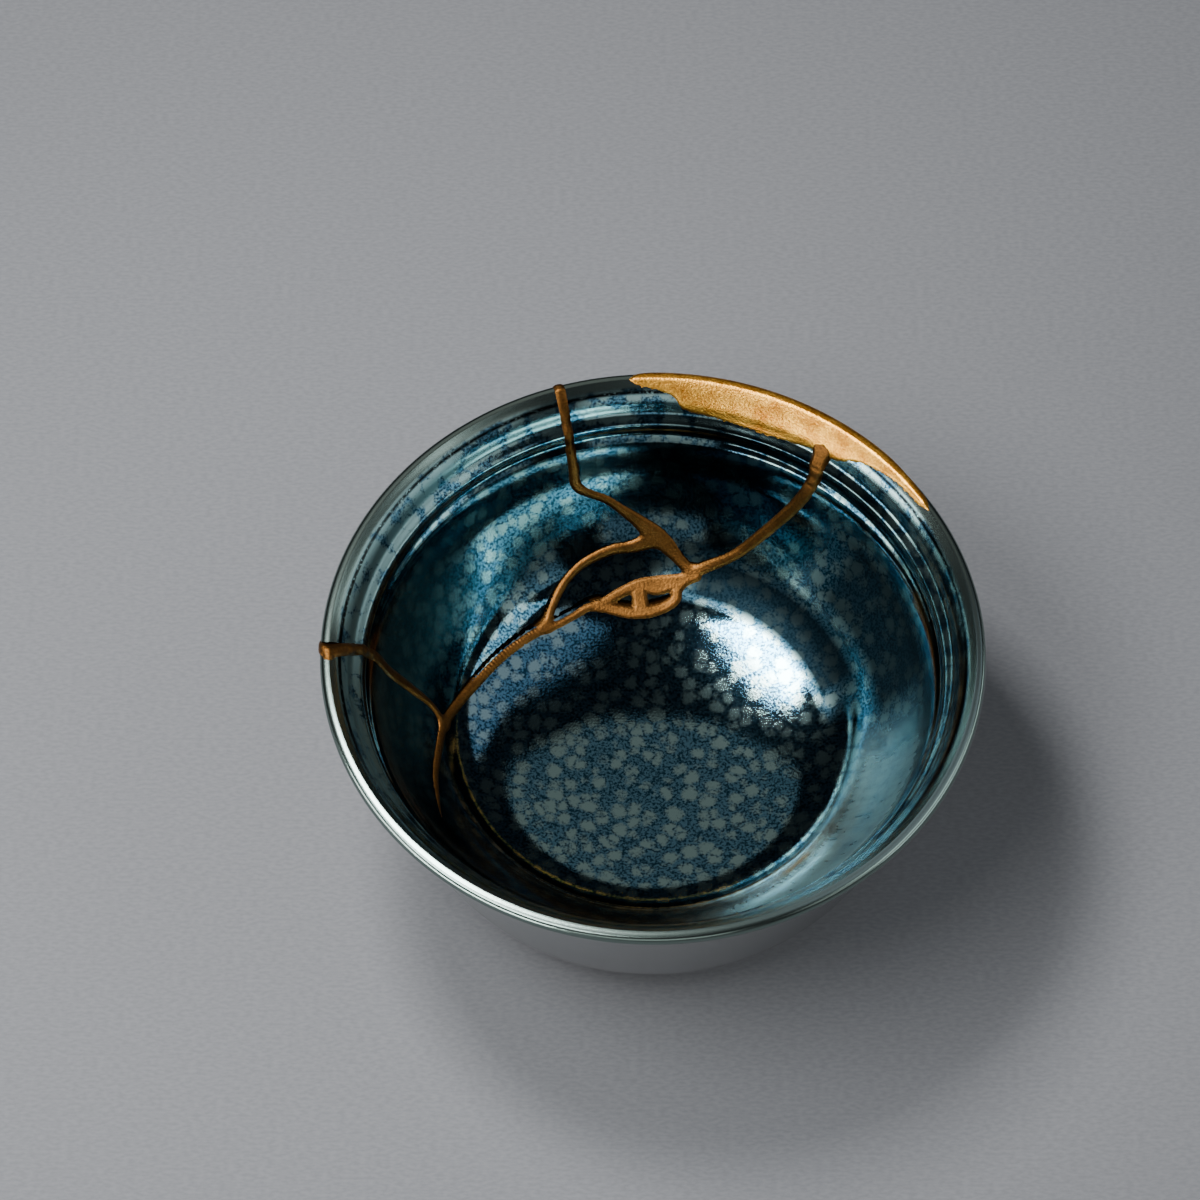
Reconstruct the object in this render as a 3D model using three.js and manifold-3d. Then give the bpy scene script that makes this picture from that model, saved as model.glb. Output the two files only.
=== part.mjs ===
// Sake cup in a dark oil-spot glaze that broke into four sherds and was joined again with gold lacquer.
// Millimetres, +Z up. The origin is under the middle of the foot, and -Y is the front.
import * as THREE from 'three';
import { mergeVertices } from 'three/addons/utils/BufferGeometryUtils.js';
import Module from 'manifold-3d';

const wasm = await Module();
wasm.setup();

// Driving dimensions of the lip
const rimRadius = 37.5;
const rimHeight = 33;
const lipRise = 0.9;
const crestInset = 1.1;
const lipWidth = 2;
const lipShoulderInset = 0.3;
const lipShoulderRise = 0.7;
const lipEdgeRadius = 34.6;
const lipEdgeHeight = 31.7;

// Driving dimensions of the inside: two ridges under the lip, the wall, and the dished well in its ring
const upperRidgeRadius = 33;
const upperRidgeHeight = 29.2;
const lowerRidgeRadius = 32.1;
const lowerRidgeHeight = 26.8;
const grooveDepth = 0.28;
const wallBelly = 0.93;
const wellRingRadius = 23.8;
const wellRingHeight = 13.5;
const wellRoll = 0.3;
const wellEdgeRadius = 19.5;
const wellEdgeRise = 2.6;
const wellFloorHeight = 8.7;
const wellDish = 0.64;

// Driving dimensions of the outside and the foot
const underLipRadius = 36.3;
const underLipHeight = 30.8;
const shoulderRadius = 29;
const shoulderHeight = 9;
const shoulderBelly = 1.5;
const footRadius = 19.5;
const footHeight = 3.9;
const footFillet = 1.2;
const footFlare = 0.2;
const footRound = 0.7;
const footRingWidth = 4.3;
const footEdge = 0.5;
const footRecess = 3.5;
const recessTaper = 0.6;
const recessRound = 0.8;
const recessDish = 0.2;

// The lacquer: how far it stands proud, how deep the patch is laid in, and the gap left around each piece
const lacquerProud = 0.2;
const patchDepth = 1.1;
const jointGap = 0.3;

// Steps round the turned cup, between two points of its section, and round a pad where breaks meet
const turnSegments = 48;
const stepsPerSpan = 2;
const padSides = 10;

// Every break runs straight out through the wall along lines that start from this point on the axis
const heart = new THREE.Vector3(0, 0, 24);
const breakStart = 12;
const breakEnd = 46;

// Where points are set between two others, as a share of the way from the lower one
const halfway = 0.5;
const pastHalfway = 0.6;
const wellShares = [0.22, 0.5, 0.78];
const wallShares = [0.18, 0.44, 0.7];
const shoulderShares = [0.78, 0.5];

// A point on the way from a low point to a high one, pressed out into the clay by up to the depth halfway
function pressed([lowRadius, lowHeight], [highRadius, highHeight], share, depth) {
  const across = highRadius - lowRadius;
  const up = highHeight - lowHeight;
  const press = (4 * share * (1 - share) * depth) / Math.hypot(across, up);
  return [lowRadius + share * across + press * up, lowHeight + share * up - press * across];
}

// Points of the section as [radius, height], from the middle of the well up to the crest of the lip
const wellMiddle = [0, wellFloorHeight];
const wellEdge = [wellEdgeRadius, wellFloorHeight + wellEdgeRise];
const wellRing = [wellRingRadius, wellRingHeight];
const lowerRidge = [lowerRidgeRadius, lowerRidgeHeight];
const upperRidge = [upperRidgeRadius, upperRidgeHeight];
const lipEdge = [lipEdgeRadius, lipEdgeHeight];
const crest = [rimRadius - crestInset, rimHeight + lipRise];
const insidePoints = [
  wellMiddle,
  ...wellShares.map((share) => pressed(wellMiddle, wellEdge, share, wellDish)),
  wellEdge,
  pressed(wellEdge, wellRing, pastHalfway, wellRoll),
  wellRing,
  ...wallShares.map((share) => pressed(wellRing, lowerRidge, share, wallBelly)),
  lowerRidge,
  pressed(lowerRidge, upperRidge, halfway, grooveDepth),
  upperRidge,
  pressed(upperRidge, lipEdge, halfway, grooveDepth),
  lipEdge,
  [rimRadius - lipWidth, rimHeight],
  crest,
];

// Points of the section from the crest over the lip and down the straight outside to the top of the foot
const underLip = [underLipRadius, underLipHeight];
const shoulder = [shoulderRadius, shoulderHeight];
const footTop = [footRadius + footFillet, footHeight];
const outsidePoints = [
  crest,
  [rimRadius - lipShoulderInset, rimHeight + lipShoulderRise],
  [rimRadius, rimHeight],
  underLip,
  pressed(shoulder, underLip, halfway, 0),
  shoulder,
  ...shoulderShares.map((share) => pressed(footTop, shoulder, share, shoulderBelly)),
  footTop,
];

// Points of the foot: its outer face, the flat ring it stands on, and the recess inside the ring
const footInnerRadius = footRadius - footRingWidth;
const footPoints = [
  [footRadius + footFlare, footHeight - footRound],
  [footRadius, footEdge],
  [footRadius - footEdge, 0],
  [footInnerRadius + footEdge, 0],
  [footInnerRadius, footEdge],
  [footInnerRadius - recessTaper, footRecess - footEdge],
  [footInnerRadius - recessTaper - recessRound, footRecess],
  [0, footRecess + recessDish],
];

// Breaks as rows of [azimuth in degrees, run, width]. The run is measured along the inside, from the middle
// of the well, and one past the crest of the lip carries the break over the rim.
const overRim = 52;
const junctionBack = [90, 27.4, 2.4];
const junctionWell = [78.5, 23.9, 1.3];
const junctionLeft = [128.5, 20.6, 1.3];
const junctionWall = [177.5, 25.3, 1.2];
const junctions = [junctionBack, junctionWell, junctionLeft, junctionWall];
const breaks = [
  [[108, overRim, 1.3], [107.5, 47.8, 1.3], [107, 39.2, 1.3], [107.3, 35.6, 1.3], [103, 34.2, 1],
    [96, 30.9, 1.3], junctionBack],
  [junctionBack, [84.5, 27, 1.3], [80.5, 24.6, 1.1], junctionWell],
  [junctionBack, [101, 26.5, 1.2], [112.5, 24.5, 1], [121, 23, 1], junctionLeft],
  [junctionWell, [68.5, 26.8, 1.3], [60, 33.2, 1.5], [54.6, 40.6, 1.7], [54.7, 45.2, 2.3]],
  [junctionWell, [80.5, 21.1, 1.2], [86, 18.7, 1.2], [95, 17.8, 1.2], [104, 18.4, 1.2], [110, 20, 1.2],
    [126, 20.2, 1], junctionLeft],
  [junctionLeft, [143.5, 21.4, 1.3], [159, 22.5, 1.3], [168, 23.7, 1.2], junctionWall],
  [junctionWall, [174, 28.2, 1.2], [174.5, 36.7, 1.5], [177, 43.2, 1.5], [182, 49, 1.5], [182, overRim, 1.5]],
  [junctionWall, [186, 26.2, 1], [195.5, 27.7, 0.8], [210, 30.6, 0.2]],
];

// The wide patch beside the small sherd, as rows of [azimuth, lower run, upper run]
const patch = [[74.5, 22.4, 22.9], [78, 21.7, 23.6], [81, 19.6, 23.5], [86, 18, 23.1], [92, 17.2, 22.9],
  [98.5, 17.2, 22.4], [104, 17.8, 21.7], [108.7, 19.1, 21.1], [112, 20, 20.8]];

// The chip in the lip, as rows of [azimuth, lower run], open at the top
const lipChipEdge = [[27, 49.4], [31.5, 48.4], [38.5, 48], [46.5, 46.9], [52, 45.1], [63.5, 44.3],
  [78, 44.6], [84, 45.3], [86.5, 47], [92.5, 48.1], [95, 49.4]];
const lipChip = lipChipEdge.map(([azimuth, lowerRun]) => [azimuth, lowerRun, overRim]);

const glazedStoneware = new THREE.MeshStandardMaterial({ color: 0x1d3148, roughness: 0.22, metalness: 0.35 });
const goldLacquer = new THREE.MeshStandardMaterial({ color: 0xb07a35, roughness: 0.42, metalness: 0.9 });

// A smooth line through the points of a section
function smoothLine(points) {
  const corners = points.map(([radius, height]) => new THREE.Vector3(radius, height, 0));
  const curve = new THREE.CatmullRomCurve3(corners, false, 'centripetal');
  const line = curve.getPoints((points.length - 1) * stepsPerSpan);
  return line.map(({ x, y }) => new THREE.Vector2(Math.max(x, 0), y));
}

const insideLine = smoothLine(insidePoints);

// The cup's whole section, moved off the clay by grow but never wider than the rim
function cupSection(grow) {
  const outsideLine = smoothLine(outsidePoints).slice(1);
  const footLine = footPoints.map(([radius, height]) => new THREE.Vector2(radius, height));
  const line = [...insideLine, ...outsideLine, ...footLine];
  return line.map((point, i) => {
    if (point.x === 0) {
      return point.clone();
    }
    const along = line[i + 1].clone().sub(line[i - 1]).normalize();
    const moved = point.clone().add(new THREE.Vector2(-along.y, along.x).multiplyScalar(grow));
    moved.x = Math.min(moved.x, rimRadius);
    return moved;
  });
}

// A closed solid that can be joined and cut, from a geometry
function solidFrom(geometry) {
  geometry.deleteAttribute('normal');
  geometry.deleteAttribute('uv');
  const merged = mergeVertices(geometry);
  const corners = merged.index.array;
  const kept = [];
  for (let i = 0; i < corners.length; i += 3) {
    const [a, b, c] = corners.slice(i, i + 3);
    if (a !== b && b !== c && c !== a) {
      kept.push(a, b, c);
    }
  }
  const vertProperties = new Float32Array(merged.attributes.position.array);
  const triVerts = new Uint32Array(kept);
  return new wasm.Manifold(new wasm.Mesh({ numProp: 3, vertProperties, triVerts }));
}

// The cup turned on its axis
function turnedCup(grow) {
  const geometry = new THREE.LatheGeometry(cupSection(grow).reverse(), turnSegments);
  geometry.rotateX(Math.PI / 2);
  return solidFrom(geometry);
}

// The point on the inside at an azimuth and a run, straight up past the crest where the run is longer
function insidePoint(azimuth, run) {
  let left = run;
  let i = 0;
  while (i < insideLine.length - 1 && left > insideLine[i].distanceTo(insideLine[i + 1])) {
    left -= insideLine[i].distanceTo(insideLine[i + 1]);
    i += 1;
  }
  const place = insideLine[i].clone();
  if (i < insideLine.length - 1) {
    const step = insideLine[i + 1].clone().sub(place);
    place.addScaledVector(step.normalize(), left);
  } else {
    place.y += left;
  }
  const turn = THREE.MathUtils.degToRad(azimuth);
  return new THREE.Vector3(place.x * Math.cos(turn), place.x * Math.sin(turn), place.y);
}

// The direction of a break's face at a point
function outward(point) {
  return point.clone().sub(heart).normalize();
}

// A strip between the left and right points of its stations, run out through the wall or to a depth in it
function strip(stations, depth = null) {
  const steps = stations.length - 1;
  const geometry = new THREE.BoxGeometry(1, 1, steps, 1, 1, steps);
  const corner = geometry.attributes.position;
  for (let i = 0; i < corner.count; i += 1) {
    const station = stations[Math.round(corner.getZ(i) + steps / 2)];
    const side = corner.getX(i) < 0 ? station.left : station.right;
    const place = heart.clone().addScaledVector(outward(side), breakStart);
    if (corner.getY(i) > 0 && depth === null) {
      place.copy(heart).addScaledVector(outward(side), breakEnd);
    } else if (corner.getY(i) > 0) {
      place.copy(side).addScaledVector(outward(side), depth);
    }
    corner.setXYZ(i, place.x, place.y, place.z);
  }
  return solidFrom(geometry);
}

// One break of the given widths, grown on each side
function breakStrip(waypoints, grow) {
  const middle = waypoints.map(([azimuth, run]) => insidePoint(azimuth, run));
  const stations = middle.map((point, i) => {
    const before = middle[Math.max(i - 1, 0)];
    const after = middle[Math.min(i + 1, middle.length - 1)];
    const across = new THREE.Vector3().crossVectors(outward(point), after.clone().sub(before)).normalize();
    const half = waypoints[i][2] / 2 + grow;
    return {
      left: point.clone().addScaledVector(across, -half),
      right: point.clone().addScaledVector(across, half),
    };
  });
  return strip(stations);
}

// A round pad of lacquer where breaks meet, grown all round
function junctionPad([azimuth, run, width], grow) {
  const point = insidePoint(azimuth, run);
  const spread = (width / 2 + grow) / point.distanceTo(heart);
  const length = breakEnd - breakStart;
  const geometry = new THREE.CylinderGeometry(spread * breakEnd, spread * breakStart, length, padSides);
  const turn = new THREE.Quaternion().setFromUnitVectors(new THREE.Vector3(0, 1, 0), outward(point));
  geometry.translate(0, breakStart + length / 2, 0);
  geometry.applyQuaternion(turn);
  geometry.translate(heart.x, heart.y, heart.z);
  return solidFrom(geometry);
}

// An area between a lower and an upper run, grown all round
function area(rows, grow, depth = null) {
  const lastRow = rows.length - 1;
  const stations = rows.map(([azimuth, low, high], i) => {
    const growTurn = THREE.MathUtils.radToDeg(grow / insidePoint(0, low).x);
    const turn = azimuth + (i === lastRow ? growTurn : 0) - (i === 0 ? growTurn : 0);
    return { left: insidePoint(turn, low - grow), right: insidePoint(turn, high + grow) };
  });
  return strip(stations, depth);
}

// All that the lacquer fills apart from the lip, grown all round
function lacquerInBreaks(grow) {
  const strips = breaks.map((waypoints) => breakStrip(waypoints, grow));
  const pads = junctions.map((junction) => junctionPad(junction, grow));
  return wasm.Manifold.union([...strips, ...pads, area(patch, grow, patchDepth + grow)]);
}

// A named mesh of a solid
function meshOf(name, solid, material) {
  const { vertProperties, triVerts } = solid.getMesh();
  const geometry = new THREE.BufferGeometry();
  geometry.setAttribute('position', new THREE.BufferAttribute(vertProperties, 3));
  geometry.setIndex(new THREE.BufferAttribute(triVerts, 1));
  geometry.computeVertexNormals();
  const mesh = new THREE.Mesh(geometry, material);
  mesh.name = name;
  return mesh;
}

const wholeCup = turnedCup(0);
const goldLimits = turnedCup(lacquerProud);
const roomForLipFill = area(lipChip, jointGap);

// The clay left between the breaks falls into four sherds, the largest first
const sherds = wholeCup.subtract(lacquerInBreaks(jointGap)).subtract(roomForLipFill).decompose();
const [cupBody, leftSherd, backSherd, smallSherd] = sherds.sort((a, b) => b.volume() - a.volume());

// The lacquer fills the breaks and rebuilds the lip, a little proud of the glaze
const goldSeam = lacquerInBreaks(0).intersect(goldLimits).subtract(roomForLipFill);
const goldLipFill = area(lipChip, 0).intersect(goldLimits);

const group = new THREE.Group();
group.add(
  meshOf('cup_body', cupBody, glazedStoneware),
  meshOf('left_sherd', leftSherd, glazedStoneware),
  meshOf('back_sherd', backSherd, glazedStoneware),
  meshOf('small_sherd', smallSherd, glazedStoneware),
  meshOf('gold_seam', goldSeam, goldLacquer),
  meshOf('gold_lip_fill', goldLipFill, goldLacquer),
);

export default group;
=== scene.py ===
# Sake cup in a dark oil-spot glaze that broke into four sherds and was joined again with gold lacquer.
# Metres, +Z up, in the frame of the solids. The origin is under the middle of the foot, and -Y is the front.
import math
import bpy
import numpy as np
from mathutils import Matrix, Vector
from mathutils.kdtree import KDTree


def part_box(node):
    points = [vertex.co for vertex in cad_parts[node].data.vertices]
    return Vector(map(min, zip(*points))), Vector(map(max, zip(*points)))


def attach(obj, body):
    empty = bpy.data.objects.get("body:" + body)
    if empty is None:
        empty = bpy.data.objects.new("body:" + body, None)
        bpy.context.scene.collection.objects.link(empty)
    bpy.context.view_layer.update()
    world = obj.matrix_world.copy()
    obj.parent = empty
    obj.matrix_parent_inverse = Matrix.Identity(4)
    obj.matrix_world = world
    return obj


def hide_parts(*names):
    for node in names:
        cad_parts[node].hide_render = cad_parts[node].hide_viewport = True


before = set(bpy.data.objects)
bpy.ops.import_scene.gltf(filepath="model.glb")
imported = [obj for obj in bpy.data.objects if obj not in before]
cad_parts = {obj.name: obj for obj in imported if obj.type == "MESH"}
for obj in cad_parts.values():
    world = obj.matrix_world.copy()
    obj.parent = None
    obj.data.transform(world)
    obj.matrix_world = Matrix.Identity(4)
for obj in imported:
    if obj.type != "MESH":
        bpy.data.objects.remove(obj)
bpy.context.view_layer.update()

# The cup as it was thrown: one stoneware wall with a rolled lip, two finger grooves and a turned foot.
# Its section is drawn in millimetres as smooth lines and spun about the axis, as clay is on the wheel.
# It is a blank, which is broken into sherds further down.
mm = 0.001
rim_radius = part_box("cup_body")[1].x / mm
rim_height = 33.0
lip_rise = 0.9
crest_inset = 1.1
lip_width = 2.0
lip_shoulder_inset = 0.3
lip_shoulder_rise = 0.7
groove_depth = 0.28
wall_belly = 0.93
well_roll = 0.3
well_dish = 0.64
shoulder_belly = 1.5
foot_radius = 19.5
foot_flare = 0.2
foot_round = 0.7
foot_edge = 0.5
foot_ring_width = 4.3
foot_recess = 3.5
recess_taper = 0.6
recess_round = 0.8
recess_dish = 0.2
section_steps = 12
spin_steps = 256
halfway = 0.5
past_halfway = 0.6
well_shares = (0.22, 0.5, 0.78)
wall_shares = (0.18, 0.44, 0.7)
shoulder_shares = (0.78, 0.5)
weld = 0.002


def pressed(low, high, share, depth):
    """A point on the way from a low one to a high one, pressed into the clay by the depth at halfway."""
    across, up = high[0] - low[0], high[1] - low[1]
    press = 4 * share * (1 - share) * depth / math.hypot(across, up)
    return (low[0] + share * across + press * up, low[1] + share * up - press * across)


def smooth_line(points, steps):
    """Points along the smooth curve through the given ones, with the same number of steps in each span."""
    corners = np.array(points, float)
    corners = np.vstack([2 * corners[0] - corners[1], corners, 2 * corners[-1] - corners[-2]])
    gaps = np.linalg.norm(np.diff(corners, axis=0), axis=1) ** 0.5
    knots = np.concatenate([[0], np.cumsum(gaps)])
    blends = (((0, 1), (1, 2), (2, 3)), ((0, 2), (1, 3)), ((1, 2),))
    line = []
    for i in range(1, len(corners) - 2):
        at_knots = knots[i - 1:i + 3]
        for at in np.linspace(knots[i], knots[i + 1], steps, endpoint=False):
            row = corners[i - 1:i + 3]
            for spans in blends:
                shares = [(at - at_knots[a]) / (at_knots[b] - at_knots[a]) for a, b in spans]
                row = [row[k] + (row[k + 1] - row[k]) * share for k, share in enumerate(shares)]
            line.append(row[0])
    line.append(corners[-2])
    return np.array(line)


def run_along(line):
    """Distance of each point of a line from its start."""
    return np.concatenate([[0], np.cumsum(np.linalg.norm(np.diff(line, axis=0), axis=1))])


def select_only(piece):
    """Makes the piece the only selected one, and the active one."""
    bpy.ops.object.select_all(action="DESELECT")
    piece.select_set(True)
    bpy.context.view_layer.objects.active = piece


def close_up(piece):
    """Merges the piece's doubled points and turns its faces outwards."""
    select_only(piece)
    bpy.ops.object.mode_set(mode="EDIT")
    bpy.ops.mesh.select_all(action="SELECT")
    bpy.ops.mesh.remove_doubles(threshold=weld * mm)
    bpy.ops.mesh.normals_make_consistent(inside=False)
    bpy.ops.object.mode_set(mode="OBJECT")


well_middle = (0.0, 8.7)
well_edge = (19.5, 11.3)
well_ring = (23.8, 13.5)
lower_ridge = (32.1, 26.8)
upper_ridge = (33.0, 29.2)
lip_edge = (34.6, 31.7)
crest = (rim_radius - crest_inset, rim_height + lip_rise)
under_lip = (36.3, 30.8)
shoulder = (29.0, 9.0)
foot_top = (20.7, 3.9)
foot_inner_radius = foot_radius - foot_ring_width
inside_points = [well_middle, *[pressed(well_middle, well_edge, share, well_dish) for share in well_shares]]
inside_points += [well_edge, pressed(well_edge, well_ring, past_halfway, well_roll), well_ring]
inside_points += [pressed(well_ring, lower_ridge, share, wall_belly) for share in wall_shares]
inside_points += [lower_ridge, pressed(lower_ridge, upper_ridge, halfway, groove_depth), upper_ridge]
inside_points += [pressed(upper_ridge, lip_edge, halfway, groove_depth), lip_edge]
inside_points += [(rim_radius - lip_width, rim_height), crest]
outside_points = [crest, (rim_radius - lip_shoulder_inset, rim_height + lip_shoulder_rise)]
outside_points += [(rim_radius, rim_height), under_lip, pressed(shoulder, under_lip, halfway, 0.0), shoulder]
outside_points += [pressed(foot_top, shoulder, share, shoulder_belly) for share in shoulder_shares]
outside_points += [foot_top]
foot_points = [
    (foot_radius + foot_flare, foot_top[1] - foot_round),
    (foot_radius, foot_edge),
    (foot_radius - foot_edge, 0.0),
    (foot_inner_radius + foot_edge, 0.0),
    (foot_inner_radius, foot_edge),
    (foot_inner_radius - recess_taper, foot_recess - foot_edge),
    (foot_inner_radius - recess_taper - recess_round, foot_recess),
    (0.0, foot_recess + recess_dish),
]
inside_line = smooth_line(inside_points, section_steps)
outside_line = smooth_line(outside_points, section_steps)
section = np.vstack([inside_line, outside_line[1:], foot_points])
section[:, 0] = np.clip(section[:, 0], 0.0, rim_radius)

blank_mesh = bpy.data.meshes.new("blank_cup")
rows = [(r * mm, 0.0, z * mm) for r, z in section]
blank_mesh.from_pydata(rows, [(i, i + 1) for i in range(len(rows) - 1)], [])
blank_cup = bpy.data.objects.new("blank_cup", blank_mesh)
bpy.context.scene.collection.objects.link(blank_cup)
select_only(blank_cup)
bpy.ops.object.mode_set(mode="EDIT")
bpy.ops.mesh.select_all(action="SELECT")
bpy.ops.mesh.spin(steps=spin_steps, angle=math.tau, center=(0, 0, 0), axis=(0, 0, 1))
bpy.ops.object.mode_set(mode="OBJECT")
close_up(blank_cup)

# The breaks: where the cup cracked, and the chip in its lip, laid out as a flat pattern of the inner face.
# A place in it is an azimuth in degrees and a run in millimetres up the inside from the middle of the well.
# Each break goes straight out through the wall, away from one point high up on the axis of the bowl.
heart_height = 24.0
over_rim = 51.0
rows_past_crest = 4
pattern_scale = 0.42
far_off = 9.0
beyond = 99.0
edge_smoothing = 0.5
edge_smoothing_rounds = 4
# Each stroke is a row of places, with the width of the lacquer there.
seam_strokes = [
    [(107.3, over_rim, 1.3), (107.4, 46.7, 1.25), (107.4, 42.5, 1.25), (107.4, 38.5, 1.3),
     (107.2, 35.6, 1.35), (104.1, 34.1, 1.05), (101, 33.1, 1.05), (97.5, 31.5, 1.2), (93.8, 29.9, 1.6),
     (90.3, 28.4, 2.2), (86.6, 27, 2.1), (83.2, 25.5, 1.5), (79, 23.9, 1.3)],
    [(89.5, 27.6, 2.2), (95.3, 26.7, 1.5), (100.9, 26.6, 1.2), (105.6, 26.2, 1.15), (110.6, 25.6, 1),
     (115.7, 24.5, 0.95), (120.6, 23.1, 0.95), (128.5, 20.6, 1)],
    [(78, 23.8, 1.5), (68.6, 26.8, 1.3), (64.4, 29.3, 1.4), (59.8, 33.2, 1.5), (56.4, 37, 1.6),
     (54.6, 40.6, 1.7), (54.6, 43.6, 2.1), (54.8, 45.6, 2.7)],
    [(128.5, 20.6, 1.05), (125.9, 20.2, 0.95), (118, 20.2, 0.95), (112.5, 20.5, 1.1), (108.4, 20.3, 1.3)],
    [(128.5, 20.6, 1.2), (143.6, 21.4, 1.15), (158.8, 22.5, 1.15), (168, 23.7, 1.1), (177.3, 25.3, 1.2)],
    [(177.3, 25.3, 1.1), (174.4, 27.6, 0.95), (173.8, 31.2, 1.25), (174.6, 36.7, 1.4), (175, 40.1, 1.4),
     (176.7, 43.2, 1.4), (179.2, 46.1, 1.55), (181.9, 49, 1.45), (182.4, over_rim, 1.45)],
    [(177.3, 25.3, 1.1), (186.2, 26.2, 1), (195.3, 27.7, 0.85), (202.7, 29, 0.65), (209.9, 30.6, 0.1)],
    [(108.4, 20.3, 1.3), (103.6, 19.4, 1.5), (97.8, 18.7, 1.6), (91.1, 18.7, 1.6), (85.2, 19.4, 1.4),
     (82.3, 20.4, 1.4), (82, 21.6, 1.4), (78.5, 23.5, 1.3)],
]
patch_strokes = [
    [(108.4, 20.3, 1.3), (103.7, 20.9, 1.3), (98.9, 21.5, 1.4), (93.9, 22, 1.6), (88.5, 21.9, 2.4),
     (81.4, 22.7, 1.7), (76.8, 23.5, 1.3)],
    [(94.7, 21.6, 1.9), (94.2, 19.3, 1.9)],
]
lip_chip_edge = [
    (27, 49.6), (31.6, 48.4), (38.6, 48), (46.6, 46.9), (52.1, 45.1), (57.1, 44.9), (63.3, 44.3),
    (70.1, 44.2), (77.8, 44.6), (83.8, 45.2), (86.4, 47), (92.7, 48.1), (95.5, 49.6),
]

lip_section = np.vstack([inside_line, outside_line[1:]])
lip_run = run_along(lip_section)
lip_step = np.gradient(lip_section, lip_run, axis=0)
lip_table = np.column_stack([lip_section, -lip_step[:, 1], lip_step[:, 0]])
rise_seen = (lip_section[1:, 1] - heart_height) / lip_section[1:, 0]
top = int(np.argmax(rise_seen)) + 1
top_run = lip_run[top]


def along(run):
    """Radius, height and outward normal at runs along the section, over the lip and down to the foot."""
    return [np.interp(run, lip_run, column) for column in lip_table.T]


def wrapped(azimuth, run, behind, lift):
    """Millimetre places on the cup for pattern points, on the inner face or behind it on the outer one."""
    radius, height, out, rise = along(run)
    seen = (height - heart_height) / np.maximum(radius, mm)
    outer_run = np.interp(-seen, -rise_seen[top - 1:], lip_run[top:])
    radius, height, out, rise = along(np.where(behind, outer_run, run))
    turn = np.radians(azimuth)
    reach = radius + out * lift
    return np.stack([reach * np.cos(turn), reach * np.sin(turn), height + rise * lift], axis=1)


def inside_places(azimuth, run):
    """Millimetre places on the inner face, no higher than the crest of the lip."""
    return wrapped(azimuth, np.minimum(run, top_run), False, 0.0)


def stroke_stations(waypoints):
    """Places along a stroke on the inner face, each with half the stroke's width there."""
    spread = [(azimuth * pattern_scale, run, width) for azimuth, run, width in waypoints]
    azimuth, run, width = smooth_line(spread, section_steps).T
    return np.column_stack([inside_places(azimuth / pattern_scale, run), np.maximum(width, 0.0) / 2])


def distance_to_strokes(places, strokes, web, least_half=0.0):
    """Millimetres to the edge of the strokes, negative within them, with a web in their corners."""
    total = np.full(len(places), far_off)
    for waypoints in strokes:
        near = np.full(len(places), far_off)
        stations = stroke_stations(waypoints)
        for x, y, z, half in stations[stations[:, 3] > least_half]:
            near = np.minimum(near, np.linalg.norm(places - (x, y, z), axis=1) - half)
        total = drawn_in(total, near, web)
    return total


def drawn_in(first, second, web):
    """The smaller of two distances, with a web where they are nearly alike."""
    blend = np.maximum(web - np.abs(first - second), 0.0) / web
    return np.minimum(first, second) - blend * blend * web / 4


def distance_to_chip(azimuth, run):
    """Millimetres to the edge of the chip in the lip, negative within it."""
    places = inside_places(azimuth, run)
    spread = [(turn * pattern_scale, height) for turn, height in lip_chip_edge]
    edge_azimuth, edge_run = smooth_line(spread, section_steps).T
    edge_azimuth = edge_azimuth / pattern_scale
    near = np.full(len(places), far_off)
    for station in inside_places(edge_azimuth, edge_run)[edge_run < top_run]:
        near = np.minimum(near, np.linalg.norm(places - station, axis=1))
    within = run > np.interp(azimuth, edge_azimuth, edge_run, left=beyond, right=beyond)
    return np.where(within, -near, near)


def coordinates(piece):
    """The piece's vertices as rows of an array."""
    flat = np.zeros(len(piece.data.vertices) * 3)
    piece.data.vertices.foreach_get("co", flat)
    return flat.reshape(-1, 3)


def trim(piece, kept):
    """Deletes the vertices of a piece that aren't kept, and those where two faces only touch at a corner."""
    for parts in (piece.data.polygons, piece.data.edges):
        parts.foreach_set("select", np.zeros(len(parts), bool))
    piece.data.vertices.foreach_set("select", ~kept)
    select_only(piece)
    bpy.ops.object.mode_set(mode="EDIT")
    bpy.ops.mesh.select_mode(type="VERT")
    bpy.ops.mesh.delete(type="VERT")
    bpy.ops.mesh.select_non_manifold(extend=False, use_wire=False, use_boundary=False, use_multi_face=False,
                                     use_non_contiguous=False, use_verts=True)
    bpy.ops.mesh.delete(type="VERT")
    bpy.ops.mesh.select_all(action="SELECT")
    bpy.ops.mesh.delete_loose(use_verts=True, use_edges=True, use_faces=False)
    bpy.ops.object.mode_set(mode="OBJECT")


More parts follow.
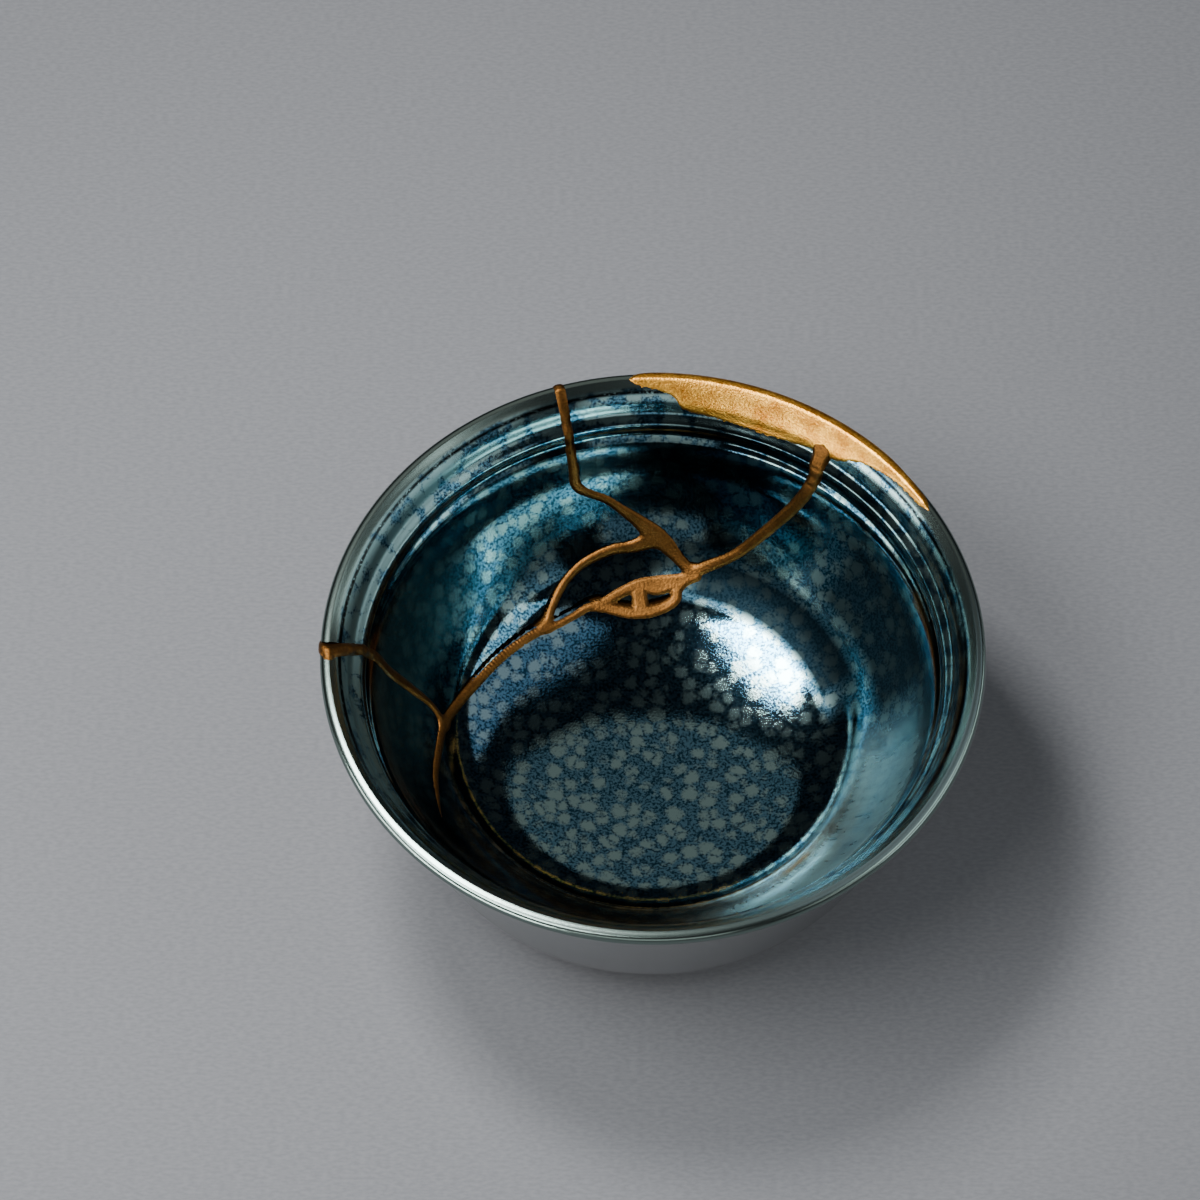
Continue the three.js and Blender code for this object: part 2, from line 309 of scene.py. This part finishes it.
def flat_pattern(name, azimuths, lowest_run, steps, keep):
    """A flat grid up to the crest, trimmed to where keep is true and extruded to a second layer."""
    columns = int((azimuths[1] - azimuths[0]) / steps[0])
    rows = int((top_run - lowest_run) / steps[1]) + rows_past_crest
    bpy.ops.object.select_all(action="DESELECT")
    bpy.ops.mesh.primitive_grid_add(x_subdivisions=columns, y_subdivisions=rows, size=1)
    piece = bpy.context.object
    piece.name = name
    flat = coordinates(piece)
    flat[:, 0] = azimuths[0] + (flat[:, 0] + halfway) * (azimuths[1] - azimuths[0])
    past_crest = rows_past_crest + (flat[:, 1] - halfway) * rows
    flat[:, 1] = top_run + past_crest * steps[1]
    flat[:, 2] = np.clip(np.round(past_crest), -1, 1)
    piece.data.vertices.foreach_set("co", flat.ravel())
    trim(piece, keep(flat[:, 0], np.minimum(flat[:, 1], top_run)))
    bpy.ops.object.mode_set(mode="EDIT")
    bpy.ops.mesh.select_non_manifold(extend=False, use_wire=False, use_multi_face=False,
                                     use_non_contiguous=False, use_verts=False)
    bpy.ops.mesh.vertices_smooth(factor=edge_smoothing, repeat=edge_smoothing_rounds,
                                 xaxis=True, yaxis=True, zaxis=False)
    bpy.ops.object.mode_set(mode="OBJECT")
    trim(piece, coordinates(piece)[:, 2] < halfway)
    flat = coordinates(piece)
    flat[:, 1] = np.where(flat[:, 2] > -halfway, top_run, flat[:, 1])
    flat[:, 2] = 0.0
    piece.data.vertices.foreach_set("co", flat.ravel())
    bpy.ops.object.mode_set(mode="EDIT")
    bpy.ops.mesh.select_all(action="SELECT")
    bpy.ops.mesh.extrude_region_move(TRANSFORM_OT_translate={"value": (0, 0, 1)})
    bpy.ops.object.mode_set(mode="OBJECT")
    return piece


def pattern_points(piece):
    """Azimuth and run of each vertex of a flat pattern, and whether it is on the second layer."""
    azimuth, run, layer = coordinates(piece).T
    return azimuth, np.minimum(run, top_run), layer > halfway


def put_on_cup(piece, places):
    """Moves a flat pattern's vertices to their millimetre places on the cup, and closes it along the lip."""
    piece.data.vertices.foreach_set("co", (places * mm).ravel())
    piece.data.update()
    close_up(piece)


# The oil-spot glaze on every sherd: a stoneware glaze whose iron came up as metallic spots in the fire.
# To the eye it is a dark mirror with soft grey-green spots, on a blue ground peppered with darker specks.
# Some bands and patches are duller or browner than the rest, where the fire left the glaze uneven.
# Others are painted light and shade: a paler coat is painted glow on the right wall, and darker coats
# are painted shade on the back of the bowl, with a black line inside the crest as a painted reflection.
spot_pitch = 1.95
spot_scatter = 0.8
spot_radii = (0.34, 0.54)
spot_gap = 0.05
spot_web = 0.12
spot_softness = 0.15
spot_drift_size = 1.6
spot_drift = 1.2
edge_drift_size = 0.7
edge_drift = 0.6
speck_size = 0.3
speck_fineness = 0.6
speck_rag = 0.5
pepper_levels = (0.38, 0.58)
streak_size = 0.7
streak_radius = 30.0
streak_length = 5.0
mottle_size = 0.8
mottle_stretch = 6.0
patchy_size = 9.0
pit_depth = 0.01
pit_strength = 0.5
spot_grey = "#7b9696"
ground_blue = "#4e7588"
speck_navy = "#183645"
lip_cover = 0.26
# Painted glow: the share of spot added on the right wall where the light falls on it.
painted_glow_cover = 0.1
ground_roughness = 0.06
spot_roughness = 0.085
soft_detail = 2.0
fine_detail = 3.0
lip_dulling = 0.26
satin_dulling = 0.25


def linear(hex_colour):
    """Linear colour with alpha for an sRGB hex value."""
    parts = [int(hex_colour[i:i + 2], 16) / 255 for i in (1, 3, 5)]
    return (*[c / 12.92 if c <= 0.04045 else ((c + 0.055) / 1.055) ** 2.4 for c in parts], 1.0)


def add(tree, kind, inputs=None, **settings):
    """A new node with its settings, and its inputs set to values or linked from sockets."""
    fresh = tree.nodes.new(kind)
    for name, value in settings.items():
        setattr(fresh, name, value)
    for name, value in (inputs or {}).items():
        if isinstance(value, bpy.types.NodeSocket):
            tree.links.new(value, fresh.inputs[name])
        else:
            fresh.inputs[name].default_value = value
    return fresh


def per_mm(size):
    """Texture scale for a pattern of this size in millimetres."""
    return 1.0 / (size * mm)


glaze = bpy.data.materials.new("oil_spot_glaze_on_stoneware")
glaze.use_nodes = True
tree = glaze.node_tree
shader = tree.nodes["Principled BSDF"]
band_names = ("lip", "satin", "painted_glow", "painted_dark", "shade", "thin", "painted_black_line", "crest", "outside", "bare")
bands = {name: add(tree, "ShaderNodeAttribute", attribute_name=name).outputs["Fac"] for name in band_names}
place = add(tree, "ShaderNodeTexCoord").outputs["Object"]
moved = place
for size, reach in ((spot_drift_size, spot_drift), (edge_drift_size, edge_drift)):
    drift = add(tree, "ShaderNodeTexNoise", {"Vector": place, "Scale": per_mm(size), "Detail": soft_detail})
    moved = add(tree, "ShaderNodeVectorMath", {0: drift.outputs["Color"], 1: (reach * mm,) * 3, 2: moved},
                operation="MULTIPLY_ADD").outputs[0]
spacing = {"Vector": moved, "Scale": per_mm(spot_pitch), "Randomness": spot_scatter}
cells = add(tree, "ShaderNodeTexVoronoi", spacing)
edges = add(tree, "ShaderNodeTexVoronoi", spacing, feature="DISTANCE_TO_EDGE")
speck = add(tree, "ShaderNodeTexNoise", {"Vector": place, "Scale": per_mm(speck_size), "Detail": soft_detail,
                                         "Roughness": speck_fineness}).outputs["Fac"]
chance = add(tree, "ShaderNodeSeparateColor", {0: cells.outputs["Color"]}).outputs[0]
radius = add(tree, "ShaderNodeMapRange", {"Value": chance, "To Min": spot_radii[0], "To Max": spot_radii[1]})
in_round = add(tree, "ShaderNodeMath", {0: radius.outputs[0], 1: cells.outputs["Distance"]},
               operation="SUBTRACT")
in_cell = add(tree, "ShaderNodeMath", {0: edges.outputs["Distance"], 1: spot_gap}, operation="SUBTRACT")
depth = add(tree, "ShaderNodeMath", {0: in_round.outputs[0], 1: in_cell.outputs[0], 2: spot_web},
            operation="SMOOTH_MIN").outputs[0]
# The lip and the painted glow on the right wall get more spot, and the specks make the spots' edges ragged.
for share, amount in ((bands["lip"], lip_cover), (bands["painted_glow"], painted_glow_cover), (speck, speck_rag)):
    depth = add(tree, "ShaderNodeMath", {0: share, 1: amount, 2: depth}, operation="MULTIPLY_ADD").outputs[0]
spot = add(tree, "ShaderNodeMapRange", {"Value": depth, "From Min": speck_rag / 2 - spot_softness,
                                        "From Max": speck_rag / 2 + spot_softness},
           interpolation_type="SMOOTHSTEP").outputs[0]
peppered = add(tree, "ShaderNodeMapRange", {"Value": speck, "From Min": pepper_levels[0],
                                            "From Max": pepper_levels[1]},
               interpolation_type="SMOOTHSTEP")
ground = add(tree, "ShaderNodeMix", {0: peppered.outputs[0], 6: linear(speck_navy), 7: linear(ground_blue)},
             data_type="RGBA")
colour = add(tree, "ShaderNodeMix", {0: spot, 6: ground.outputs[2], 7: linear(spot_grey)},
             data_type="RGBA").outputs[2]
dullness = add(tree, "ShaderNodeMapRange", {"Value": spot, "To Min": ground_roughness,
                                            "To Max": spot_roughness}).outputs[0]
for name, amount in (("lip", lip_dulling), ("satin", satin_dulling)):
    dullness = add(tree, "ShaderNodeMath", {0: bands[name], 1: amount, 2: dullness},
                   operation="MULTIPLY_ADD").outputs[0]
flat = add(tree, "ShaderNodeVectorMath", {0: place, 1: (1, 1, 0)}, operation="MULTIPLY")
around = add(tree, "ShaderNodeVectorMath", {0: flat.outputs[0]}, operation="NORMALIZE")
downward = (0, 0, 1 / (streak_length * streak_radius * mm))
streak_place = add(tree, "ShaderNodeVectorMath", {0: place, 1: downward, 2: around.outputs[0]},
                   operation="MULTIPLY_ADD").outputs[0]
mottle_place = add(tree, "ShaderNodeVectorMath", {0: place, 1: (1, 1, mottle_stretch)},
                   operation="MULTIPLY").outputs[0]
# Ways in which a coat breaks up: its clouds' places and closeness, and the levels that they fade between.
cloud_kinds = (
    ("streaky", streak_place, streak_radius / streak_size, -0.5, 0.6),
    ("patchy", place, per_mm(patchy_size), 0.40, 0.55),
    ("jagged", place, per_mm(speck_size), 0.30, 0.46),
    ("mottled", mottle_place, per_mm(mottle_size), 0.05, 0.45),
)
breaks_up = {}
for name, at, scale, low, high in cloud_kinds:
    cloud = add(tree, "ShaderNodeTexNoise", {"Vector": at, "Scale": scale, "Detail": fine_detail})
    breaks_up[name] = add(tree, "ShaderNodeMapRange", {"Value": cloud.outputs["Fac"], "From Min": low,
                                                       "From Max": high}).outputs[0]
# Each coat lies over those before it: its band, how it breaks up, its colour and its roughness.
coats = (
    ("satin", 1.0, "#4d8488", 0.30),
    # Painted glow: a paler, duller coat on the right wall, where the light falls on it.
    ("painted_glow", breaks_up["streaky"], "#c6e6e4", 0.46),
    # Painted shade: a near-black coat on the back wall and in the grooves at the back.
    ("painted_dark", 1.0, "#04090c", 0.12),
    # Painted shade: a dark, rough coat on the ring at the back of the well and on the back of the right
    # wall.
    ("shade", 1.0, "#060f14", 0.5),
    ("thin", breaks_up["patchy"], "#7a5a34", 0.16),
    # Painted reflection: a jagged black line just inside the crest, standing for the dark room mirrored
    # there.
    ("painted_black_line", breaks_up["jagged"], "#050709", 0.16),
    ("crest", 1.0, "#75857f", 0.22),
    ("outside", breaks_up["mottled"], "#b0b2b2", 0.2),
    ("bare", 1.0, "#4a4038", 0.85),
)
for name, share, hex_colour, roughness in coats:
    amount = add(tree, "ShaderNodeMath", {0: bands[name], 1: share}, operation="MULTIPLY").outputs[0]
    colour = add(tree, "ShaderNodeMix", {0: amount, 6: colour, 7: linear(hex_colour)},
                 data_type="RGBA").outputs[2]
    dullness = add(tree, "ShaderNodeMix", {0: amount, 2: dullness, 3: roughness}).outputs[0]
pitted = add(tree, "ShaderNodeBump", {"Height": speck, "Strength": pit_strength, "Distance": pit_depth * mm})
tree.links.new(colour, shader.inputs["Base Color"])
tree.links.new(dullness, shader.inputs["Roughness"])
tree.links.new(pitted.outputs[0], shader.inputs["Normal"])
metallic = add(tree, "ShaderNodeMath", {0: 1.0, 1: bands["bare"]}, operation="SUBTRACT")
tree.links.new(metallic.outputs[0], shader.inputs["Metallic"])

# The four sherds: the clay between the breaks, each a closed solid with its broken faces under the lacquer.
# The blank is cut along the breaks and the chip, a little narrower than the lacquer that covers them.
cut_inset = 0.12
cut_reach = 1.5
least_cut_half = 0.36
cut_steps = (0.3, 0.15)
seam_web = 0.7
seam_azimuths = (52.0, 213.0)
lowest_seam_run = 16.5
chip_azimuths = (25.0, 98.0)
lowest_chip_run = 42.5
smooth_angle = math.radians(40)
in_and_out = (0, 1, 1, 0)
round_the_cup = (225, 225, 585, 585)
left_wall = (495, 512, 550, 575)
left_lip = (470, 500, 570, 585)
back_wall = (410, 435, 488, 502)
right_wall = (268, 296, 346, 364)
right_back_wall = (352, 366, 398, 415)
back_ring = (365, 380, 435, 455)
bare_start = 0.4
bare_full = 0.2
bare_edges = (lip_run[-1] - bare_start, lip_run[-1] - bare_full, beyond, beyond)
# A patch of glaze has a strength, and fades in and out between four azimuths and between four runs.
# Azimuths go from 225 at the front left through 360 at the right and 450 at the back to 540 at the left.
glaze_patches = [
    ("lip", 0.45, round_the_cup, (41.5, 44.0, beyond, beyond)),
    ("lip", 1.0, left_lip, (42.4, 43.8, beyond, beyond)),
    ("satin", 0.55, left_wall, (27.0, 30.0, 38.4, 40.6)),
    # Painted glow: the right wall is made paler where the light falls on it.
    ("painted_glow", 0.7, right_wall, (22.0, 26.8, 37.0, 40.6)),
    # Painted shade: the back wall is made nearly black.
    ("painted_dark", 0.72, back_wall, (24.2, 27.5, 40.6, 43.0)),
    # Painted shade: the ring at the back of the well and the back of the right wall are made dark and rough.
    ("shade", 0.96, back_ring, (20.0, 21.5, 25.5, 28.0)),
    ("shade", 0.9, right_back_wall, (26.0, 29.0, 37.0, 39.5)),
    # Painted shade: the grooves at the right of the back are made nearly black.
    ("painted_dark", 0.75, (385, 400, 440, 455), (40.6, 41.4, 44.0, 45.0)),
    ("thin", 1.0, (355, 365, 380, 395), (39.9, 40.4, 40.8, 41.3)),
    ("thin", 1.0, (525, 530, 540, 548), (39.9, 40.4, 40.8, 41.3)),
    ("thin", 1.0, (290, 300, 318, 328), (23.8, 24.4, 24.8, 25.4)),
    # Painted reflection: the black line just inside the crest.
    ("painted_black_line", 1.0, round_the_cup, (47.0, 47.25, 47.5, 47.75)),
    ("crest", 1.0, round_the_cup, (47.7, 48.1, beyond, beyond)),
    ("outside", 1.0, round_the_cup, (51.0, 53.0, beyond, beyond)),
    ("bare", 1.0, round_the_cup, bare_edges),
]


def in_seam_core(azimuth, run):
    """True where the clay is cut away under the seam."""
    places = inside_places(azimuth, run)
    return distance_to_strokes(places, seam_strokes, seam_web, least_cut_half) < -cut_inset


def in_chip_core(azimuth, run):
    """True where the clay is cut away under the lip fill."""
    return distance_to_chip(azimuth, run) < -cut_inset


section_tree = KDTree(len(lip_section))
for i, (radius, height) in enumerate(lip_section):
    section_tree.insert((radius, height, 0.0), i)
section_tree.balance()
seam_cutter = flat_pattern("seam_cutter", seam_azimuths, lowest_seam_run, cut_steps, in_seam_core)
chip_cutter = flat_pattern("chip_cutter", chip_azimuths, lowest_chip_run, cut_steps, in_chip_core)
for cutter in (seam_cutter, chip_cutter):
    put_on_cup(cutter, wrapped(*pattern_points(cutter), cut_reach))
    cut = blank_cup.modifiers.new("break", "BOOLEAN")
    cut.operation = "DIFFERENCE"
    cut.solver = "MANIFOLD"
    cut.object = cutter
    select_only(blank_cup)
    bpy.ops.object.modifier_apply(modifier=cut.name)
    bpy.data.objects.remove(cutter)
bpy.ops.object.mode_set(mode="EDIT")
bpy.ops.mesh.select_all(action="SELECT")
bpy.ops.mesh.separate(type="LOOSE")
bpy.ops.object.mode_set(mode="OBJECT")
sherds = sorted(bpy.context.selected_objects, key=lambda sherd: -len(sherd.data.vertices))
for sherd, node in zip(sherds, ("cup_body", "left_sherd", "back_sherd", "small_sherd")):
    sherd.name = "glazed_" + node
    sherd.data.name = sherd.name
    corners = coordinates(sherd) / mm
    on_section = zip(np.hypot(corners[:, 0], corners[:, 1]), corners[:, 2])
    run = np.array([lip_run[section_tree.find((radius, height, 0.0))[1]] for radius, height in on_section])
    turn = (np.degrees(np.arctan2(corners[:, 1], corners[:, 0])) - round_the_cup[0]) % 360 + round_the_cup[0]
    strength = {name: np.zeros(len(corners)) for name in band_names}
    for name, most, turn_edges, run_edges in glaze_patches:
        spread = np.interp(turn, turn_edges, in_and_out) * np.interp(run, run_edges, in_and_out)
        strength[name] = np.maximum(strength[name], most * spread)
    for name, values in strength.items():
        sherd.data.attributes.new(name, "FLOAT", "POINT").data.foreach_set("value", values)
    sherd.data.materials.clear()
    sherd.data.materials.append(glaze)
    select_only(sherd)
    bpy.ops.object.shade_smooth_by_angle(angle=smooth_angle)
    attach(sherd, "root")
    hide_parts(node)

# The gold lacquer: tree lacquer brushed into the breaks and dusted with gold powder before it set.
# To the eye it is a satin brown gold with a powdery grain.
# The lip fill's colours are lighter and yellower, partly their own tone and partly painted light.
# Real powder is too fine to show, so its grain is drawn much coarser.
powder_size = 0.26
powder_depth = 0.09
powder_strength = 0.6
cloud_size = 2.2
tone_levels = (0.12, 0.38)


def gold_lacquer(name, bright, shade, roughness):
    """Gold powder on lacquer, clouded between a bright colour and a shade of it."""
    gold = bpy.data.materials.new(name)
    gold.use_nodes = True
    tree = gold.node_tree
    shader = tree.nodes["Principled BSDF"]
    place = add(tree, "ShaderNodeTexCoord").outputs["Object"]
    powder = add(tree, "ShaderNodeTexNoise", {"Vector": place, "Scale": per_mm(powder_size),
                                              "Detail": fine_detail})
    cloud = add(tree, "ShaderNodeTexNoise", {"Vector": place, "Scale": per_mm(cloud_size),
                                             "Detail": soft_detail})
    tone = add(tree, "ShaderNodeMath", {0: powder.outputs["Fac"], 1: cloud.outputs["Fac"]},
               operation="MULTIPLY")
    toned = add(tree, "ShaderNodeMapRange", {"Value": tone.outputs[0], "From Min": tone_levels[0],
                                             "From Max": tone_levels[1]})
    golden = add(tree, "ShaderNodeMix", {0: toned.outputs[0], 6: linear(shade), 7: linear(bright)},
                 data_type="RGBA")
    grain = add(tree, "ShaderNodeBump", {"Height": powder.outputs["Fac"], "Strength": powder_strength,
                                         "Distance": powder_depth * mm})
    tree.links.new(golden.outputs[2], shader.inputs["Base Color"])
    tree.links.new(grain.outputs[0], shader.inputs["Normal"])
    shader.inputs["Metallic"].default_value = 1.0
    shader.inputs["Roughness"].default_value = roughness
    return gold


# The gold seam: one run of lacquer through every break, standing a little proud as a bead on both faces.
# It was brushed on by hand, so it widens into webs where breaks meet and a patch beside the small sherd.
seam_gold = "#704a23"
seam_shade = "#4c3216"
seam_roughness = 0.42
bead_rise = 0.2
bead_round = 0.5
skirt = 0.14
patch_web = 0.25
patch_depth = 1.1
lacquer_steps = (0.25, 0.12)


def bead(distance):
    """Height of the lacquer over the glaze by its distance from the edge, past which it dips under."""
    share = np.clip(-distance / bead_round, 0, 1)
    return np.where(distance < 0, bead_rise * (1 - (1 - share) ** 2), -2 * bead_rise / bead_round * distance)


def seam_distances(azimuth, run):
    """Millimetres to the edge of the seam on the outer face, and on the inner one with the patch."""
    places = inside_places(azimuth, run)
    through = distance_to_strokes(places, seam_strokes, seam_web)
    patch = distance_to_strokes(places, patch_strokes, patch_web)
    return through, drawn_in(through, patch, patch_web)


def in_seam(azimuth, run):
    """True where the seam or its patch lies on the inner face."""
    return seam_distances(azimuth, run)[1] < skirt


def bridge(distance, run):
    """Extra height of the lacquer where it fills the two finger grooves, none at its edges."""
    ridges = (lower_ridge, upper_ridge, lip_edge)
    ridge_runs = [lip_run[section_tree.find((*ridge, 0.0))[1]] for ridge in ridges]
    filled = np.zeros(len(run))
    for low, high in zip(ridge_runs, ridge_runs[1:]):
        share = np.clip((run - low) / (high - low), 0, 1)
        filled += 4 * share * (1 - share) * groove_depth
    return filled * np.clip(-distance / bead_round, 0, 1)


seam = flat_pattern("lacquer_seam", seam_azimuths, lowest_seam_run, lacquer_steps, in_seam)
azimuth, run, behind = pattern_points(seam)
through, faced = seam_distances(azimuth, run)
lift = np.where(behind, bead(through), bead(faced) + bridge(faced, run))
places = wrapped(azimuth, run, behind, lift)
shallow = behind & (through > skirt)
inlaid = wrapped(azimuth, run, False, -patch_depth)
places[shallow] = inlaid[shallow]
put_on_cup(seam, places)
powdered_gold = gold_lacquer("gold_powder_on_lacquer", seam_gold, seam_shade, seam_roughness)
seam.data.materials.append(powdered_gold)
bpy.ops.object.shade_smooth_by_angle(angle=smooth_angle)
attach(seam, "root")
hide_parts("gold_seam")

# The gold lip fill: lacquer built up in the chip until it made the lip whole, and dusted like the seam.
# It follows the lip's own section, a little proud of the glaze, over the crest and down the outside.
# The fill's colours are painted brighter than the seam's: partly their own tone, partly painted light.
fill_gold_and_painted_light = "#f0b248"
fill_shade = "#a66822"
fill_roughness = 0.34


def in_fill(azimuth, run):
    """True where the fill lies on the inner face."""
    return distance_to_chip(azimuth, run) < skirt


lip_fill = flat_pattern("lacquer_lip_fill", chip_azimuths, lowest_chip_run, lacquer_steps, in_fill)
azimuth, run, behind = pattern_points(lip_fill)
put_on_cup(lip_fill, wrapped(azimuth, run, behind, bead(distance_to_chip(azimuth, run))))
# Gold for the fill, painted brighter than the seam's, partly as painted light.
bright_painted_gold = gold_lacquer("bright_painted_gold_on_lacquer", fill_gold_and_painted_light, fill_shade, fill_roughness)
lip_fill.data.materials.append(bright_painted_gold)
bpy.ops.object.shade_smooth_by_angle(angle=smooth_angle)
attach(lip_fill, "root")
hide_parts("gold_lip_fill")

# The floor: a wide sheet of pale grey paper that the cup stands on, quite matt.
# Its fibres lie crosswise, and are drawn coarser than real ones, which are too fine to show.
paper_width = 4.0
paper_grey = "#717275"
fibre_grey = "#696a6d"
fibre_size = 0.35
fibre_stretch = 0.4
fibre_levels = (0.35, 0.65)
paper_roughness = 0.9
paper_gloss = 0.1
bpy.ops.object.select_all(action="DESELECT")
bpy.ops.mesh.primitive_plane_add(size=paper_width)
floor = bpy.context.object
floor.name = "paper_floor"
paper = bpy.data.materials.new("matt_grey_paper")
paper.use_nodes = True
tree = paper.node_tree
shader = tree.nodes["Principled BSDF"]
place = add(tree, "ShaderNodeTexCoord").outputs["Object"]
drawn = add(tree, "ShaderNodeVectorMath", {0: place, 1: (fibre_stretch, 1, 1)}, operation="MULTIPLY")
fibres = add(tree, "ShaderNodeTexNoise", {"Vector": drawn.outputs[0], "Scale": per_mm(fibre_size),
                                          "Detail": fine_detail})
fibrous = add(tree, "ShaderNodeMapRange", {"Value": fibres.outputs["Fac"], "From Min": fibre_levels[0],
                                           "From Max": fibre_levels[1]})
greyed = add(tree, "ShaderNodeMix", {0: fibrous.outputs[0], 6: linear(fibre_grey), 7: linear(paper_grey)},
             data_type="RGBA")
tree.links.new(greyed.outputs[2], shader.inputs["Base Color"])
shader.inputs["Roughness"].default_value = paper_roughness
shader.inputs["Specular IOR Level"].default_value = paper_gloss
floor.data.materials.append(paper)

# The light: a small bright soft box high on the left with a wider one in front of it, low boxes at the left,
# front and right for the lip and the gold, and dim panels high up on the other sides, in a dark room.
# The mirror-like glaze shows them all, so each is placed by where its image lies.
lit_point = Vector((0.0, 0.0, 0.02))
room_dark = "#303134"
# Name, way to it from the cup, way along its long side, width and height as shares of its distance,
# distance in metres, brightness and tint.
softboxes = [
    ("key", (-0.30, 0.235, 0.925), (-0.574, 0.819, 0), (0.31, 0.22), 0.3, 60.0, "#ffffff"),
    ("side", (-0.405, -0.294, 0.866), (0.6, -0.8, 0), (0.54, 0.36), 0.3, 14.5, "#ffffff"),
    ("high_left", (-0.49, 0.0, 0.87), (0, 1, 0), (0.3, 0.26), 0.3, 8.0, "#f4fcff"),
    ("low_left", (-0.945, -0.253, 0.195), (0.259, -0.966, 0), (0.5, 0.28), 0.3, 9.0, "#ffffff"),
    ("low_front_left", (-0.70, -0.706, 0.105), (0.709, -0.705, 0), (0.7, 0.16), 0.4, 19.0, "#ffffff"),
    ("low_front", (0.0, -0.966, 0.259), (1, 0, 0), (0.7, 0.3), 0.6, 1.2, "#ffffff"),
    ("front_right", (0.76, -0.53, 0.375), (0.53, 0.76, 0), (0.5, 0.4), 0.7, 0.8, "#ffffff"),
    ("right", (0.735, -0.08, 0.673), (0.1, 0.99, 0), (0.62, 0.42), 0.7, 2.4, "#f4fcff"),
    ("low_right", (0.98, 0.0, 0.12), (0, 1, 0), (1.0, 0.24), 0.7, 2.6, "#f4fcff"),
    ("high_right", (0.46, 0.25, 0.852), (0.743, 0.669, 0), (0.7, 0.4), 0.7, 0.65, "#eaeeff"),
    ("back", (0.0, 0.66, 0.75), (1, 0, 0), (0.66, 0.66), 0.8, 0.33, "#fffaf4"),
]
for name, toward, along_side, (width, height), distance, brightness, tint in softboxes:
    away = Vector(toward).normalized()
    side = Vector(along_side)
    side = (side - away * side.dot(away)).normalized()
    lamp = bpy.data.lights.new(name, "AREA")
    lamp.shape = "ELLIPSE" if name == "back" else "RECTANGLE"
    lamp.size = width * distance
    lamp.size_y = height * distance
    covered = lamp.size * lamp.size_y * (math.pi / 4 if lamp.shape == "ELLIPSE" else 1)
    lamp.energy = brightness * math.pi * covered
    lamp.color = linear(tint)[:3]
    softbox = bpy.data.objects.new(name, lamp)
    turned = Matrix((side, away.cross(side), away)).transposed()
    softbox.matrix_world = Matrix.Translation(lit_point + away * distance) @ turned.to_4x4()
    bpy.context.scene.collection.objects.link(softbox)
room = bpy.data.worlds.new("dark_room")
room.use_nodes = True
room.node_tree.nodes["Background"].inputs["Color"].default_value = linear(room_dark)
bpy.context.scene.world = room

# The camera: a long lens that looks steeply down on the cup from the front.
# It is turned a little about its own axis, so that the cup stands slightly askew in the picture.
eye = Vector((0.0, -235.4, 417.6)) * mm
aim = Vector((-5.98, 6.30, 33.0)) * mm
roll = math.radians(1.167)
lens_length = 120.0
sensor_width = 36.0
camera_data = bpy.data.cameras.new("camera")
camera_data.lens = lens_length
camera_data.sensor_width = sensor_width
camera = bpy.data.objects.new("camera", camera_data)
turned = (aim - eye).to_track_quat("-Z", "Y").to_matrix() @ Matrix.Rotation(-roll, 3, "Z")
camera.matrix_world = Matrix.Translation(eye) @ turned.to_4x4()
bpy.context.scene.collection.objects.link(camera)
bpy.context.scene.camera = camera
